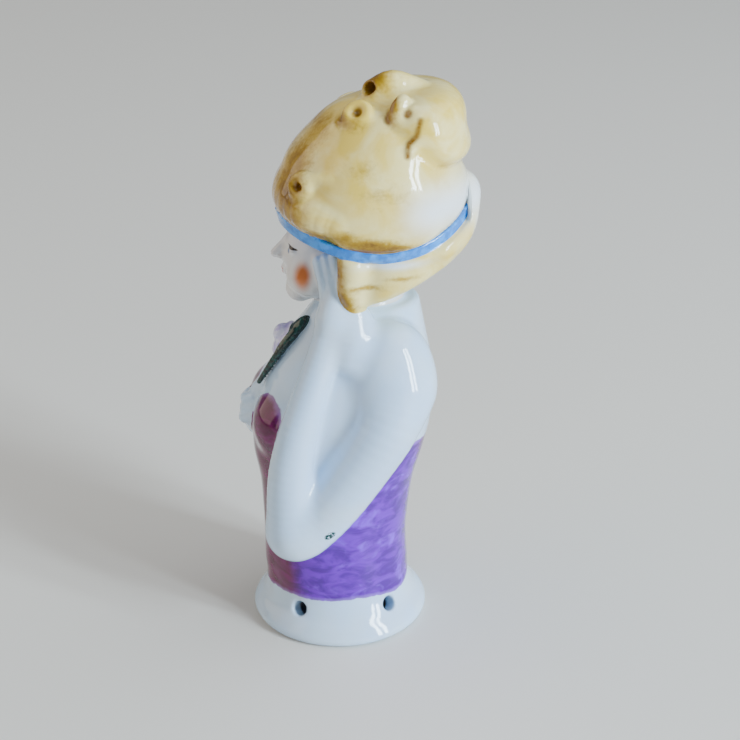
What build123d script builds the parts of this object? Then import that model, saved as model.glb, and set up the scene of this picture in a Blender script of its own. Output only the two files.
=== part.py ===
"""Glazed porcelain half-doll: the upper figure that is sewn to a stuffed pin cushion.

Millimetres, +Z up. The figure faces -Y and its left side is +X. The origin is the centre of
the foot ring, on the plane it stands on. The figure is hollow from below, with four sew
holes round the flange. Every piece of clay that is cast or pressed on its own and luted to
the others is one solid, cut so that neighbours meet face to face.
"""
from build123d import *
import math
import os

# Driving dimensions
FLANGE_RADIUS = 12.6
FOOT_RING_OUTER = 12.2
FOOT_RING_INNER = 9.4
HEM_HEIGHT = 5.3
HEM_RADIUS = 10.4
WALL = 2.3
NECK_HEIGHT = 48.0
CAVITY_TOP = 43.5
VENT_RADIUS = 1.3
HAIR_FRONT_EDGE = -0.7
SEW_HOLE_RADIUS = 1.05
SEW_HOLE_REACH = 10.55
SEW_HOLE_HEIGHT = 4.5
SEW_HOLE_ANGLE = 37.5
SEW_HOLE_TILT = 24.0
BAND_WIDTH = 1.2
BAND_PROUD = 0.3
BAND_DEPTH = 1.1

# Heights of the headband's middle line at the forehead, above the ears and at the nape
BAND_FRONT = (-10.0, 61.0)
BAND_EAR = (4.0, 58.6)
BAND_BACK = (21.0, 62.6)

# Oval sections as (height, centre y, half width x, half depth y)
TORSO = [
    (HEM_HEIGHT, -0.2, HEM_RADIUS, HEM_RADIUS),
    (9.0, -0.3, 10.2, 10.2),
    (13.0, -0.1, 9.9, 9.8),
    (17.0, 0.0, 9.9, 9.9),
    (22.0, -0.1, 10.3, 10.7),
    (27.0, 0.1, 10.9, 12.0),
    (31.0, 0.3, 11.3, 12.6),
    (35.0, 0.9, 11.4, 12.2),
    (39.0, 1.6, 11.0, 11.2),
    (43.0, 2.4, 9.3, 9.8),
    (46.0, 3.5, 7.4, 8.2),
    (NECK_HEIGHT, 4.2, 6.4, 6.9),
]
NECK = [
    (NECK_HEIGHT, 4.2, 6.4, 6.9),
    (50.5, 3.4, 5.9, 6.4),
    (54.0, 2.6, 5.8, 6.0),
]
HAIR = [
    (56.5, 4.9, 10.9, 12.0),
    (59.8, 4.9, 11.3, 12.4),
    (63.0, 4.6, 11.9, 12.9),
    (66.0, 4.8, 12.0, 12.6),
    (69.5, 5.6, 11.5, 11.6),
    (72.5, 6.4, 10.2, 10.1),
    (75.0, 7.2, 7.8, 8.0),
    (76.8, 8.0, 4.2, 4.8),
]
NAPE = [
    (49.6, 4.6, 7.6, 5.0),
    (52.0, 5.6, 9.4, 7.4),
    (55.4, 6.8, 10.6, 9.3),
    (57.5, 7.4, 10.9, 10.4),
    (60.0, 7.9, 9.9, 10.9),
    (62.5, 8.3, 8.8, 10.5),
    (65.6, 8.9, 6.6, 9.0),
]

# Limb stations as (x, y, z, radius), for the figure's left side
LEFT_UPPER_ARM = [
    (9.2, 6.6, 38.0, 5.3),
    (10.6, 4.8, 33.6, 5.0),
    (11.3, 2.0, 28.8, 4.6),
    (11.5, -1.9, 23.2, 4.3),
    (11.4, -5.6, 19.2, 4.1),
]
LEFT_FOREARM = [
    (11.4, -6.8, 19.0, 4.0),
    (11.4, -7.2, 23.5, 3.7),
    (11.3, -7.0, 28.6, 3.3),
    (11.0, -6.0, 33.6, 2.9),
    (10.3, -4.4, 38.8, 2.5),
    (9.3, -2.9, 43.4, 2.2),
    (8.0, -1.8, 48.4, 1.9),
    (6.9, -1.5, 52.8, 1.4),
]
RIGHT_UPPER_ARM = [
    (-9.6, 5.6, 36.5, 5.6),
    (-11.4, 3.4, 32.0, 5.3),
    (-12.4, 0.4, 27.0, 4.8),
    (-12.4, -2.8, 22.6, 4.2),
]
RIGHT_FOREARM = [
    (-12.2, -3.4, 22.2, 4.1),
    (-9.8, -7.6, 25.0, 3.7),
    (-6.2, -10.6, 28.0, 3.0),
    (-2.6, -12.0, 31.0, 2.4),
    (0.4, -12.0, 33.4, 2.1),
]
ROSE_STEM = [
    (0.8, -11.4, 36.6, 0.45),
    (1.2, -10.3, 39.2, 0.5),
    (1.5, -8.8, 41.6, 0.55),
    (1.9, -7.2, 43.8, 0.6),
]
SCROLL_TAIL = [
    (7.6, 8.9, 75.6, 0.85),
    (9.4, 9.2, 74.2, 0.95),
    (10.5, 8.9, 72.6, 0.9),
    (11.0, 8.4, 70.8, 0.6),
]


def oval(z, cy, half_x, half_y, grow=0.0):
    """A smooth closed oval face at one height, its points spaced evenly in angle."""
    count = 20
    points = []
    for step in range(count):
        angle = 2 * math.pi * step / count
        x = (half_x + grow) * math.cos(angle)
        y = cy + (half_y + grow) * math.sin(angle)
        points.append((x, y, z))
    return make_face(Spline(*points, periodic=True))


def lofted(stations, grow=0.0):
    """One smooth solid through a list of oval sections."""
    return loft([oval(*station, grow) for station in stations])


def ellipsoid(centre, radii, rotation=(0, 0, 0)):
    """A sphere stretched to three radii, turned and moved to its centre."""
    return Pos(*centre) * Rot(*rotation) * scale(Sphere(1.0), by=radii)


def limb(stations):
    """A smooth round limb through circles, with a domed cap beyond each end circle."""
    spots = [Vector(*station[:3]) for station in stations]
    radii = [station[3] for station in stations]
    first_way = (spots[1] - spots[0]).normalized()
    last_way = (spots[-1] - spots[-2]).normalized()
    circles = []
    for share in (0.96, 0.7):
        size = radii[0] * math.sqrt(1 - share ** 2)
        spot = spots[0] - first_way * (radii[0] * share)
        circles.append(Plane(origin=spot, z_dir=first_way) * Circle(size))
    for index, spot in enumerate(spots):
        before = spots[max(index - 1, 0)]
        after = spots[min(index + 1, len(spots) - 1)]
        circles.append(Plane(origin=spot, z_dir=(after - before).normalized()) * Circle(radii[index]))
    for share in (0.7, 0.96):
        size = radii[-1] * math.sqrt(1 - share ** 2)
        spot = spots[-1] + last_way * (radii[-1] * share)
        circles.append(Plane(origin=spot, z_dir=last_way) * Circle(size))
    return loft(circles)


def band_zone(shift_low, top_height=None, shift_high=0.0):
    """The space between two curves that follow the headband's sag, through the whole head."""
    low = [(y, z + shift_low) for y, z in (BAND_FRONT, BAND_EAR, BAND_BACK)]
    edges = ThreePointArc(*low)
    if top_height is None:
        high = [(y, z + shift_high) for y, z in (BAND_BACK, BAND_EAR, BAND_FRONT)]
        edges += Line(low[2], high[0])
        edges += ThreePointArc(*high)
        edges += Line(high[2], low[0])
    else:
        edges += Polyline(low[2], (low[2][0], top_height), (low[0][0], top_height), low[0])
    return extrude(Plane.YZ * make_face(edges), amount=30, both=True)


def sew_hole_bore(side_x, side_y):
    """One drill-through for thread, square to the slope of the flange."""
    angle = math.radians(SEW_HOLE_ANGLE)
    tilt = math.radians(SEW_HOLE_TILT)
    out_x = side_x * math.cos(angle)
    out_y = side_y * math.sin(angle)
    mouth = (SEW_HOLE_REACH * out_x, SEW_HOLE_REACH * out_y, SEW_HOLE_HEIGHT)
    way = (out_x * math.cos(tilt), out_y * math.cos(tilt), math.sin(tilt))
    return Plane(origin=mouth, z_dir=way) * Cylinder(SEW_HOLE_RADIUS, 9.0)


def flange():
    """The foot ring and the flare that spreads from the waist to the cushion."""
    with BuildPart() as made:
        with BuildSketch(Plane.XZ):
            with BuildLine():
                Line((0, 0), (FOOT_RING_OUTER, 0))
                ThreePointArc((FOOT_RING_OUTER, 0), (FLANGE_RADIUS, 0.9), (12.2, 2.1))
                Spline((12.2, 2.1), (11.2, 3.6), (HEM_RADIUS, HEM_HEIGHT))
                Line((HEM_RADIUS, HEM_HEIGHT), (HEM_RADIUS - 0.6, HEM_HEIGHT + 1.0))
                Line((HEM_RADIUS - 0.6, HEM_HEIGHT + 1.0), (0, HEM_HEIGHT + 1.0))
                Line((0, HEM_HEIGHT + 1.0), (0, 0))
            make_face()
        revolve(axis=Axis.Z)
    return made.part


def body_outside():
    """The waist, back, shoulders and bust as one filled shape."""
    shape = lofted(TORSO) + flange()
    for side in (-1, 1):
        shape += ellipsoid((side * 4.8, -8.0, 32.4), (4.6, 4.4, 4.6))
    return shape


def body_casting(outside):
    """The torso shell: open below, thin walled, with a vent up the neck and four sew holes."""
    inner = [(z, cy, a - WALL, b - WALL) for z, cy, a, b in TORSO[1:10]]
    inner[-1] = (CAVITY_TOP, 2.5, 4.6, 5.0)
    mouth = (-1.0, 0.0, FOOT_RING_INNER, FOOT_RING_INNER)
    throat = (HEM_HEIGHT - 1.0, 0.0, HEM_RADIUS - WALL, HEM_RADIUS - WALL)
    shell = outside - loft([oval(*mouth), oval(*throat)], ruled=True)
    shell -= lofted([throat] + inner)
    shell -= Pos(0, 3.2, NECK_HEIGHT) * Cylinder(VENT_RADIUS, 14)
    for side_x in (-1, 1):
        for side_y in (-1, 1):
            shell -= sew_hole_bore(side_x, side_y)
    return shell


def head_casting():
    """The small turned-up face and the neck that stands on the shoulders."""
    shape = ellipsoid((0, 0.8, 55.4), (6.3, 8.1, 6.9))
    shape += ellipsoid((0, -4.9, 50.7), (3.0, 2.2, 2.2))
    shape += ellipsoid((0, -7.7, 55.4), (0.9, 1.2, 0.9))
    shape += lofted(NECK)
    shape -= Pos(0, 0, NECK_HEIGHT - 10) * Box(40, 40, 20)
    return shape


def head_hollow():
    """What the drained slip leaves inside the head, open to the neck's vent."""
    space = ellipsoid((0, 1.6, 55.0), (3.7, 5.0, 4.2))
    space += Pos(0, 3.2, 50.0) * Cylinder(VENT_RADIUS, 8)
    return space


def nape_roll():
    """Hair rolled up behind the ears and round the nape, its rim rising behind the band."""
    front_edge = Pos(0, HAIR_FRONT_EDGE - 20, 58) * Box(60, 40, 60)
    return lofted(NAPE) - front_edge


def ring_curl(centre, facing, ring_radius, lock_radius):
    """A lock of hair coiled into a small open ring."""
    return Plane(origin=centre, z_dir=facing) * Torus(ring_radius, lock_radius)


def scroll_curl():
    """A ring with a tail that runs down the side of the head, on the figure's left."""
    return ring_curl((6.8, 7.8, 76.0), (0.8, -0.3, 0.6), 1.35, 0.85) + limb(SCROLL_TAIL)


def cut_from(shape, *others):
    """The shape with its neighbours' volumes taken out, so that they meet face to face."""
    for other in others:
        shape = shape - other
    return shape


def on_right(shape):
    """The same lock on the figure's right side."""
    return mirror(shape, about=Plane.YZ)


def build_pieces():
    """Every piece by node name, each cut by the pieces that it is pressed against."""
    outside = body_outside()
    head = head_casting()
    arms_left = cut_from(limb(LEFT_UPPER_ARM) + limb(LEFT_FOREARM), outside, head)
    arms_right = cut_from(limb(RIGHT_UPPER_ARM) + limb(RIGHT_FOREARM), outside, head)

    hair = lofted(HAIR)
    band_half = BAND_WIDTH / 2
    above_band = band_zone(-band_half, top_height=85)
    band_slab = band_zone(-band_half, shift_high=band_half)
    ribbon = (lofted(HAIR, BAND_PROUD) & band_slab) - lofted(HAIR, BAND_PROUD - BAND_DEPTH)
    bun = ellipsoid((0, 11.2, 73.2), (9.5, 6.6, 5.6))
    fringe = ellipsoid((0, -3.0, 64.8), (10.2, 5.6, 5.2))
    temple = ring_curl((7.0, -5.2, 67.0), (0.75, -0.65, 0.2), 1.3, 0.8)
    rosette = ring_curl((5.2, 2.3, 75.4), (0.5, -0.4, 0.75), 1.1, 0.65)
    scroll = scroll_curl()
    topknot = ring_curl((0.4, 6.4, 78.2), (0.75, -0.6, 0.25), 1.15, 0.8)
    topknot += ellipsoid((0, 7.4, 77.4), (3.2, 2.9, 1.9))

    crown = cut_from((hair & above_band), head, ribbon, bun, fringe)
    nape = cut_from(nape_roll(), head, outside, above_band & lofted(HAIR, BAND_PROUD), arms_left)

    pieces = {
        "body_casting": body_casting(outside),
        "head_casting": head - head_hollow(),
        "left_arm": arms_left,
        "right_arm": arms_right,
        "hair_crown": crown,
        "headband": ribbon - head,
        "hair_nape_roll": nape,
        "hair_bun": cut_from(bun, topknot),
        "hair_fringe": cut_from(fringe & above_band, head, ribbon),
        "hair_topknot": cut_from(topknot, hair),
    }
    locks = {"temple_curl": temple, "rosette_curl": rosette, "scroll_curl": scroll}
    for name, lock in locks.items():
        pieces[name + "_left"] = cut_from(lock, hair, fringe, bun, topknot)
        pieces[name + "_right"] = cut_from(on_right(lock), hair, fringe, bun, topknot)

    bloom = ellipsoid((0.3, -7.5, 43.8), (2.3, 1.7, 2.1), (-35, 0, 0))
    leaf = ellipsoid((1.9, -5.4, 45.7), (1.1, 1.7, 0.8), (35, 0, 0))
    pieces["rose_bloom"] = cut_from(bloom, outside, head)
    pieces["rose_stem"] = cut_from(limb(ROSE_STEM), outside, head, bloom, arms_right)
    pieces["rose_leaf"] = cut_from(leaf, outside, head, bloom, limb(ROSE_STEM))
    return pieces


def main():
    os.makedirs("parts", exist_ok=True)
    for name, shape in build_pieces().items():
        export_step(shape, "parts/" + name + ".step")


main()
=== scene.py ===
"""Looks for the glazed porcelain half-doll: a sculpted, painted figure around the CAD frame.

The figure is modelled as one distance field in millimetres, made of simple rounded shapes
that melt into each other as clay does under glaze. Each CAD node owns the part of the field
that its own shapes are deepest in, so the pieces meet along the hollows between them and
share every seam vertex. The field is meshed once, and each piece becomes its own closed mesh.
"""
import math

import bpy
import numpy as np
from mathutils import Matrix, Vector


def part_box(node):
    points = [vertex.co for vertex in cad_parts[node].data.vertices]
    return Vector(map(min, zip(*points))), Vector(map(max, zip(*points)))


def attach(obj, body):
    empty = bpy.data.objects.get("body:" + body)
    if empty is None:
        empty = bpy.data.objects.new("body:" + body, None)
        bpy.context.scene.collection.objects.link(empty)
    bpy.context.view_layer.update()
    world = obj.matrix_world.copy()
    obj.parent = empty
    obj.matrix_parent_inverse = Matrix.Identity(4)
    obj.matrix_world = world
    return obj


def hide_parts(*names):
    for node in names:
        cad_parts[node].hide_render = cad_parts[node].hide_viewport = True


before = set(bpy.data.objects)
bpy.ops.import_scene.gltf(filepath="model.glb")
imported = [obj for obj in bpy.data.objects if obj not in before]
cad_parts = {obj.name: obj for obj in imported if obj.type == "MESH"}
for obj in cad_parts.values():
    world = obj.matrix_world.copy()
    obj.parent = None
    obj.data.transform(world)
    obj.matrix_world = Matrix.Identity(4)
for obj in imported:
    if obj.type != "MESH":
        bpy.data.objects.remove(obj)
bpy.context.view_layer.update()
MM = 0.001
CELL = 0.25      # mesh spacing in mm
BATCH = 400000                          # points worked out at a time


# ---------------------------------------------------------------- places taken from the frame
def node_box(node):
    """Lowest and highest corner of a CAD node in millimetres."""
    low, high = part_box(node)
    return np.array(low) / MM, np.array(high) / MM


# ---------------------------------------------------------------- distance shapes
class Shape:
    """A distance function with the box that holds its surface."""

    def __init__(self, distance, low, high):
        self.distance = distance
        self.low = np.asarray(low, float)
        self.high = np.asarray(high, float)

    def __call__(self, points, margin=4.0):
        """Distances in mm; points well outside the box get the distance to the box instead."""
        gap = np.maximum(self.low - points, points - self.high)
        gap = np.maximum(gap, 0.0)
        far = np.sqrt((gap * gap).sum(1))
        close = far < margin
        far[close] = self.distance(points[close])
        return far


def melt_values(a, b, soft):
    """Smooth minimum of two distance arrays."""
    if soft <= 0:
        return np.minimum(a, b)
    share = np.maximum(soft - np.abs(a - b), 0.0) / soft
    return np.minimum(a, b) - share * share * soft * 0.25


def melt(shapes, soft):
    """Union of shapes whose joins are rounded over about soft millimetres."""
    low = np.min([shape.low for shape in shapes], 0)
    high = np.max([shape.high for shape in shapes], 0)

    def distance(points):
        value = shapes[0](points)
        for shape in shapes[1:]:
            value = melt_values(value, shape(points), soft)
        return value

    return Shape(distance, low - soft / 4, high + soft / 4)


def carve(shape, tools, soft):
    """A shape with tools pressed into it, their rims rounded over about soft millimetres."""
    def distance(points):
        value = shape(points)
        for tool in tools:
            value = -melt_values(-value, tool(points), soft)
        return value

    return Shape(distance, shape.low, shape.high)


def turned(angles):
    """Rotation matrix from X, Y and Z angles in degrees."""
    turn = Matrix.Identity(3)
    for axis, angle in zip("XYZ", angles):
        turn = Matrix.Rotation(math.radians(angle), 3, axis) @ turn
    return np.array(turn)


def egg(middle, radii, angles=(0, 0, 0)):
    """An ellipsoid."""
    middle = np.asarray(middle, float)
    radii = np.asarray(radii, float)
    turn = turned(angles)
    reach = np.sqrt((turn * turn) @ (radii * radii))

    def distance(points):
        local = (points - middle) @ turn
        ratio = np.sqrt(((local / radii) ** 2).sum(1)) + 1e-9
        slope = np.sqrt(((local / radii ** 2) ** 2).sum(1)) + 1e-9
        return ratio * (ratio - 1.0) / slope

    return Shape(distance, middle - reach, middle + reach)


def bone(start, end, start_radius, end_radius):
    """A round bar whose radius runs evenly from one end to the other."""
    start = np.asarray(start, float)
    end = np.asarray(end, float)
    way = end - start
    length2 = float(way @ way) + 1e-12

    def distance(points):
        share = np.clip(((points - start) @ way) / length2, 0, 1)
        off = points - start - share[:, None] * way
        return np.sqrt((off * off).sum(1)) - (start_radius + (end_radius - start_radius) * share)

    biggest = max(start_radius, end_radius)
    return Shape(distance, np.minimum(start, end) - biggest, np.maximum(start, end) + biggest)


def smooth_table(heights, table):
    """Columns of a station table at any height, along smooth curves."""
    table = np.asarray(table, float)
    knots = table[:, 0]
    values = table[:, 1:]
    slopes = np.gradient(values, knots, axis=0)
    heights = np.clip(heights, knots[0], knots[-1])
    index = np.clip(np.searchsorted(knots, heights) - 1, 0, len(knots) - 2)
    span = knots[index + 1] - knots[index]
    t = ((heights - knots[index]) / span)[:, None]
    span = span[:, None]
    first = (2 * t ** 3 - 3 * t ** 2 + 1) * values[index] + (t ** 3 - 2 * t ** 2 + t) * span * slopes[index]
    second = (3 * t ** 2 - 2 * t ** 3) * values[index + 1] + (t ** 3 - t ** 2) * span * slopes[index + 1]
    return (first + second).T


def limb(stations, steps=4):
    """A smooth tube through (x, y, z, radius) stations."""
    stations = np.asarray(stations, float)
    table = np.column_stack([np.arange(len(stations)), stations])
    spots = smooth_table(np.linspace(0, len(stations) - 1, steps * (len(stations) - 1) + 1), table).T
    bars = []
    for here, there in zip(spots[:-1], spots[1:]):
        bars.append(bone(here[:3], there[:3], here[3], there[3]))
    return melt(bars, 0.05)


def ring(middle, facing, ring_radius, lock_radius):
    """A torus that faces along a direction."""
    middle = np.asarray(middle, float)
    facing = np.asarray(facing, float)
    facing = facing / np.linalg.norm(facing)
    reach = ring_radius + lock_radius

    def distance(points):
        local = points - middle
        height = local @ facing
        across = np.sqrt(np.maximum((local * local).sum(1) - height * height, 0.0))
        return np.sqrt((across - ring_radius) ** 2 + height ** 2) - lock_radius

    return Shape(distance, middle - reach, middle + reach)


def oval_stack(table, inset=0.0, end_soft=1.0):
    """A solid of oval sections: (height, centre y, half width, depth in front, depth behind)."""
    table = np.asarray(table, float)
    bottom = table[0, 0]
    top = table[-1, 0]
    low = (-table[:, 2].max(), (table[:, 1] - table[:, 3]).min(), bottom)
    high = (table[:, 2].max(), (table[:, 1] + table[:, 4]).max(), top)

    def distance(points):
        heights = points[:, 2]
        cy, half_x, front, back = smooth_table(heights, table)
        off = points[:, 1] - cy
        half_y = np.where(off < 0, front, back) - inset
        half_x = half_x - inset
        x = points[:, 0]
        ratio = np.sqrt((x / half_x) ** 2 + (off / half_y) ** 2) + 1e-9
        slope = np.sqrt((x / half_x ** 2) ** 2 + (off / half_y ** 2) ** 2) + 1e-9
        side = ratio * (ratio - 1.0) / slope
        side = -melt_values(-side, top - heights, end_soft)
        return -melt_values(-side, heights - bottom, end_soft)

    return Shape(distance, low, high)


# ---------------------------------------------------------------- the sculpture, node by node
LEFT = 1
RIGHT = -1
WALL = 2.3                              # thickness of the clay, mm
HOLE_RADIUS = 1.05
HOLE_REACH = 10.55                      # from the figure's axis to a sew hole's middle
HOLE_HEIGHT = 4.5
HOLE_ANGLE = math.radians(37.5)         # round the flange from the left-right line
HOLE_TILT = math.radians(24.0)          # square to the flange's slope
FINGER_RADII = (0.85, 0.8, 0.55)        # knuckle, middle and tip
TORSO = [
    (0.0, 0.0, 12.3, 12.3, 12.3),
    (1.0, 0.0, 12.6, 12.6, 12.6),
    (2.2, 0.0, 12.1, 12.1, 12.1),
    (3.6, -0.1, 11.1, 11.1, 11.1),
    (5.3, -0.2, 10.4, 10.5, 10.4),
    (9.0, -0.4, 10.1, 10.4, 10.2),
    (13.0, -0.4, 9.8, 10.4, 10.0),
    (17.0, -0.3, 9.9, 10.6, 10.2),
    (22.0, -0.2, 10.3, 11.0, 10.8),
    (27.0, 0.0, 10.9, 12.0, 12.0),
    (31.0, 0.3, 11.3, 12.2, 12.6),
    (35.0, 0.8, 11.4, 11.8, 12.5),
    (39.0, 1.4, 11.0, 10.8, 11.7),
    (43.0, 2.4, 9.4, 9.4, 9.9),
    (46.0, 3.4, 7.4, 8.2, 8.3),
    (49.0, 4.2, 6.2, 6.8, 6.9),
]


def torso():
    """Flange, waist, back and shoulders in one stack, with the bust melted on."""
    shape = oval_stack(TORSO, end_soft=0.8)
    bust = [egg((side * 4.7, -7.8, 32.4), (4.6, 4.3, 4.8)) for side in (LEFT, RIGHT)]
    return melt([shape] + bust, 1.8)


def base_hollow():
    """The drained inside of the casting, open at the foot."""
    inner = [row for row in TORSO if 5 < row[0] < 42]
    mouth = [(-3.0, 0.0, 11.7, 11.7, 11.7), (2.0, 0.0, 11.2, 11.2, 11.2)]
    crown = [(44.0, 2.6, 6.5, 6.6, 7.0)]
    return oval_stack(mouth + inner + crown, inset=WALL, end_soft=2.0)


def sew_hole(side_x, side_y):
    """A round hole through the flange, for the thread that holds the cushion."""
    out = np.array([side_x * math.cos(HOLE_ANGLE), side_y * math.sin(HOLE_ANGLE), 0.0])
    mouth = out * HOLE_REACH + (0, 0, HOLE_HEIGHT)
    way = out * math.cos(HOLE_TILT) + (0, 0, math.sin(HOLE_TILT))
    return bone(mouth - 5.0 * way, mouth + 4.0 * way, HOLE_RADIUS, HOLE_RADIUS)


def on_side(side, point):
    """A point given for the left side, or its mirror image for the right."""
    return (side * point[0],) + tuple(point[1:])


def both_sides(path):
    """The same smooth tube on the left and on the right."""
    return [limb([on_side(side, station) for station in path]) for side in (LEFT, RIGHT)]


def swag(path):
    """A smooth tube across the figure, given from its middle to its left end."""
    return limb([on_side(RIGHT, station) for station in reversed(path[1:])] + path)


def head():
    """Skull, full cheeks, a small chin, neck and an up-turned nose."""
    cheeks = [egg((side * 2.9, -3.7, 53.0), (2.6, 3.3, 2.8)) for side in (LEFT, RIGHT)]
    skull = egg((0, -0.3, 55.2), (5.7, 7.1, 6.6))
    chin = egg((0, -5.0, 50.5), (2.3, 2.0, 2.0))
    neck = egg((0, 3.4, 50.5), (5.4, 5.6, 5.0))
    shape = melt([skull, neck, chin] + cheeks, 1.1)
    sockets = [egg((side * 2.5, -7.4, 56.8), (1.4, 0.9, 0.8)) for side in (LEFT, RIGHT)]
    shape = carve(shape, sockets, 0.7)
    eyes = [egg((side * 2.5, -5.95, 56.6), (0.95, 0.7, 0.6)) for side in (LEFT, RIGHT)]
    nose = limb([(0, -6.7, 57.4, 0.45), (0, -7.6, 56.2, 0.6), (0, -8.25, 55.5, 0.62)])
    nostrils = [egg((side * 0.5, -7.5, 55.15), (0.42, 0.5, 0.36)) for side in (LEFT, RIGHT)]
    lips = [egg((0, -7.0, 53.45), (1.0, 0.5, 0.34)), egg((0, -6.9, 52.85), (0.8, 0.5, 0.34))]
    return melt([shape] + eyes + [nose] + nostrils + lips, 0.45)


def fingers(path, step):
    """Three fingers side by side, each a step further across the hand than the last."""
    made = []
    for number in range(3):
        shift = np.multiply(step, number)
        made.append(limb([(*np.add(spot, shift), radius) for spot, radius in zip(path, FINGER_RADII)]))
    return made


def left_arm():
    """The left arm: a broad shoulder, the elbow low in front, the hand up at the cheek."""
    upper = limb([(9.0, 7.1, 38.4, 4.8), (10.8, 5.5, 34.4, 4.5), (11.4, 2.5, 29.4, 4.15),
                  (11.4, -1.5, 23.6, 4.0), (11.3, -4.8, 19.9, 3.9), (11.2, -6.8, 18.9, 3.85)])
    shoulder = egg((7.6, 6.2, 40.2), (5.8, 6.2, 8.0))
    fore = limb([(11.2, -6.9, 19.0, 3.8), (11.4, -7.4, 23.0, 3.4), (11.4, -7.4, 28.0, 3.0),
                 (11.1, -6.6, 32.6, 2.7), (10.6, -5.4, 36.6, 2.45), (9.9, -3.9, 41.0, 2.2),
                 (9.0, -2.4, 45.0, 2.1), (8.1, -1.3, 48.8, 1.9)])
    back_of_hand = limb([(8.0, -1.2, 49.0, 1.9), (7.4, -0.9, 51.4, 1.6), (6.8, -0.6, 53.6, 1.2)])
    spread = fingers([(7.3, -1.9, 50.8), (6.7, -2.3, 53.4), (5.7, -2.9, 56.0)], (0.3, 0.95, 0.5))
    hand = melt([back_of_hand] + spread, 0.5)
    palm = limb([(7.6, 1.6, 48.4, 2.4), (8.7, 1.3, 45.8, 2.7), (9.3, 1.0, 43.6, 2.2)])
    hollow_floor = egg((8.7, -1.0, 30.8), (2.5, 4.3, 10.0), (-16, 0, 0))
    arms = melt([melt([upper, shoulder], 2.5), fore], 1.6)
    return melt([arms, hand, palm, hollow_floor], 1.8)


def right_arm():
    """The right arm, folded across the chest so that the hand holds the rose."""
    upper = limb([(-8.6, 6.9, 38.6, 4.5), (-10.6, 5.0, 34.0, 4.4), (-11.8, 2.0, 28.6, 4.3),
                  (-12.0, -1.6, 24.0, 4.1), (-11.8, -3.8, 22.6, 4.0)])
    shoulder = egg((-7.6, 5.4, 39.6), (5.7, 5.7, 7.2))
    fore = limb([(-11.8, -4.0, 22.7, 3.8), (-9.6, -7.6, 24.8, 3.4), (-6.2, -10.2, 27.8, 2.8),
                 (-4.0, -11.0, 29.6, 2.2)])
    heel = egg((-2.5, -11.3, 31.0), (2.4, 2.2, 2.4))
    thumb = egg((-1.4, -10.9, 34.0), (1.5, 1.5, 2.1), (-18, 0, 0))
    curled = fingers([(-3.6, -12.7, 29.9), (-1.7, -13.1, 30.3), (-0.2, -12.2, 31.2)], (-0.1, 0.15, 1.45))
    hand = melt([melt([heel, thumb], 1.4)] + curled, 0.5)
    return melt([melt([upper, shoulder], 2.5), fore, hand], 1.6)


HAIR = [
    (57.0, 4.5, 10.6, 11.4, 12.2),
    (60.0, 4.6, 11.2, 12.0, 12.6),
    (63.0, 4.6, 11.9, 12.6, 12.8),
    (66.0, 4.8, 12.1, 12.4, 12.5),
    (69.5, 5.2, 11.6, 11.4, 10.6),
    (72.5, 6.2, 10.2, 9.8, 9.3),
    (75.0, 7.0, 7.8, 7.8, 8.2),
    (77.0, 7.8, 4.6, 4.8, 5.0),
]
NAPE = [
    (48.8, 4.6, 8.2, 5.0, 4.6),
    (50.0, 4.9, 9.0, 5.6, 5.8),
    (52.5, 5.8, 10.0, 6.6, 7.6),
    (55.4, 6.8, 10.6, 8.0, 9.4),
    (57.5, 7.4, 10.7, 9.0, 10.5),
    (60.0, 7.9, 9.6, 9.0, 10.8),
    (63.0, 8.3, 7.2, 9.0, 10.1),
    (66.0, 8.5, 5.0, 8.0, 8.9),
]


def band_height(y):
    """Height of the ribbon's middle line, lowest over the ear."""
    off = y - 5.0
    return 58.0 + np.where(off < 0, 0.065 * np.abs(off) ** 1.5, 0.027 * off * off)


def everywhere(distance):
    """A zone without ends, negative inside."""
    return Shape(distance, (-99, -99, -99), (99, 99, 99))


def above_band(rise):
    """Over the ribbon's upper edge."""
    return everywhere(lambda points: band_height(points[:, 1]) + rise - points[:, 2])


def below_band(drop):
    """Under the ribbon's lower edge, but free to climb over it at the very back."""
    def distance(points):
        lift = 6.0 * soft_step(points[:, 1] - 0.25 * np.abs(points[:, 0]), 15.4, 17.4)
        return points[:, 2] - band_height(points[:, 1]) + drop - lift

    return everywhere(distance)


def soft_step(value, low, high):
    """0 up to low, 1 from high, and a smooth rise between."""
    share = np.clip((value - low) / (high - low), 0, 1)
    return share * share * (3 - 2 * share)


def clip_to(shape, zone, soft):
    """The part of a shape that lies inside a zone."""
    def distance(points):
        return -melt_values(-shape(points), -zone(points), soft)

    return Shape(distance, shape.low, shape.high)


def hair_crown():
    """The puffed-up hair over the ribbon, fullest behind the ears."""
    puffs = [egg((side * 8.7, 4.7, 61.6), (3.0, 7.2, 3.4)) for side in (LEFT, RIGHT)]
    dips = [egg((side * 11.2, -2.0, 61.0), (2.2, 0.9, 2.2)) for side in (LEFT, RIGHT)]
    shape = carve(melt([oval_stack(HAIR, end_soft=2.0)] + puffs, 1.6), dips, 1.6)
    return clip_to(shape, above_band(0.72), 0.9)


def headband():
    """A flat ribbon that hugs the hair in the valley between crown and nape."""
    brow = egg((0, -2.2, 61.0), (7.0, 5.0, 3.0))
    core = melt([oval_stack(HAIR, inset=-0.3, end_soft=2.0), brow], 1.0)
    level = everywhere(lambda points: np.abs(points[:, 2] - band_height(points[:, 1])) - 0.78)
    behind = everywhere(lambda points: points[:, 1] - 17.0)
    return clip_to(clip_to(core, level, 0.25), behind, 0.3)


def hair_fringe():
    """The roll of hair over the forehead."""
    roll = swag([(0, -4.4, 63.9, 4.05), (6.3, -3.3, 63.6, 3.4), (9.2, -0.6, 62.6, 2.1)])
    return clip_to(roll, above_band(0.75), 1.2)


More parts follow.
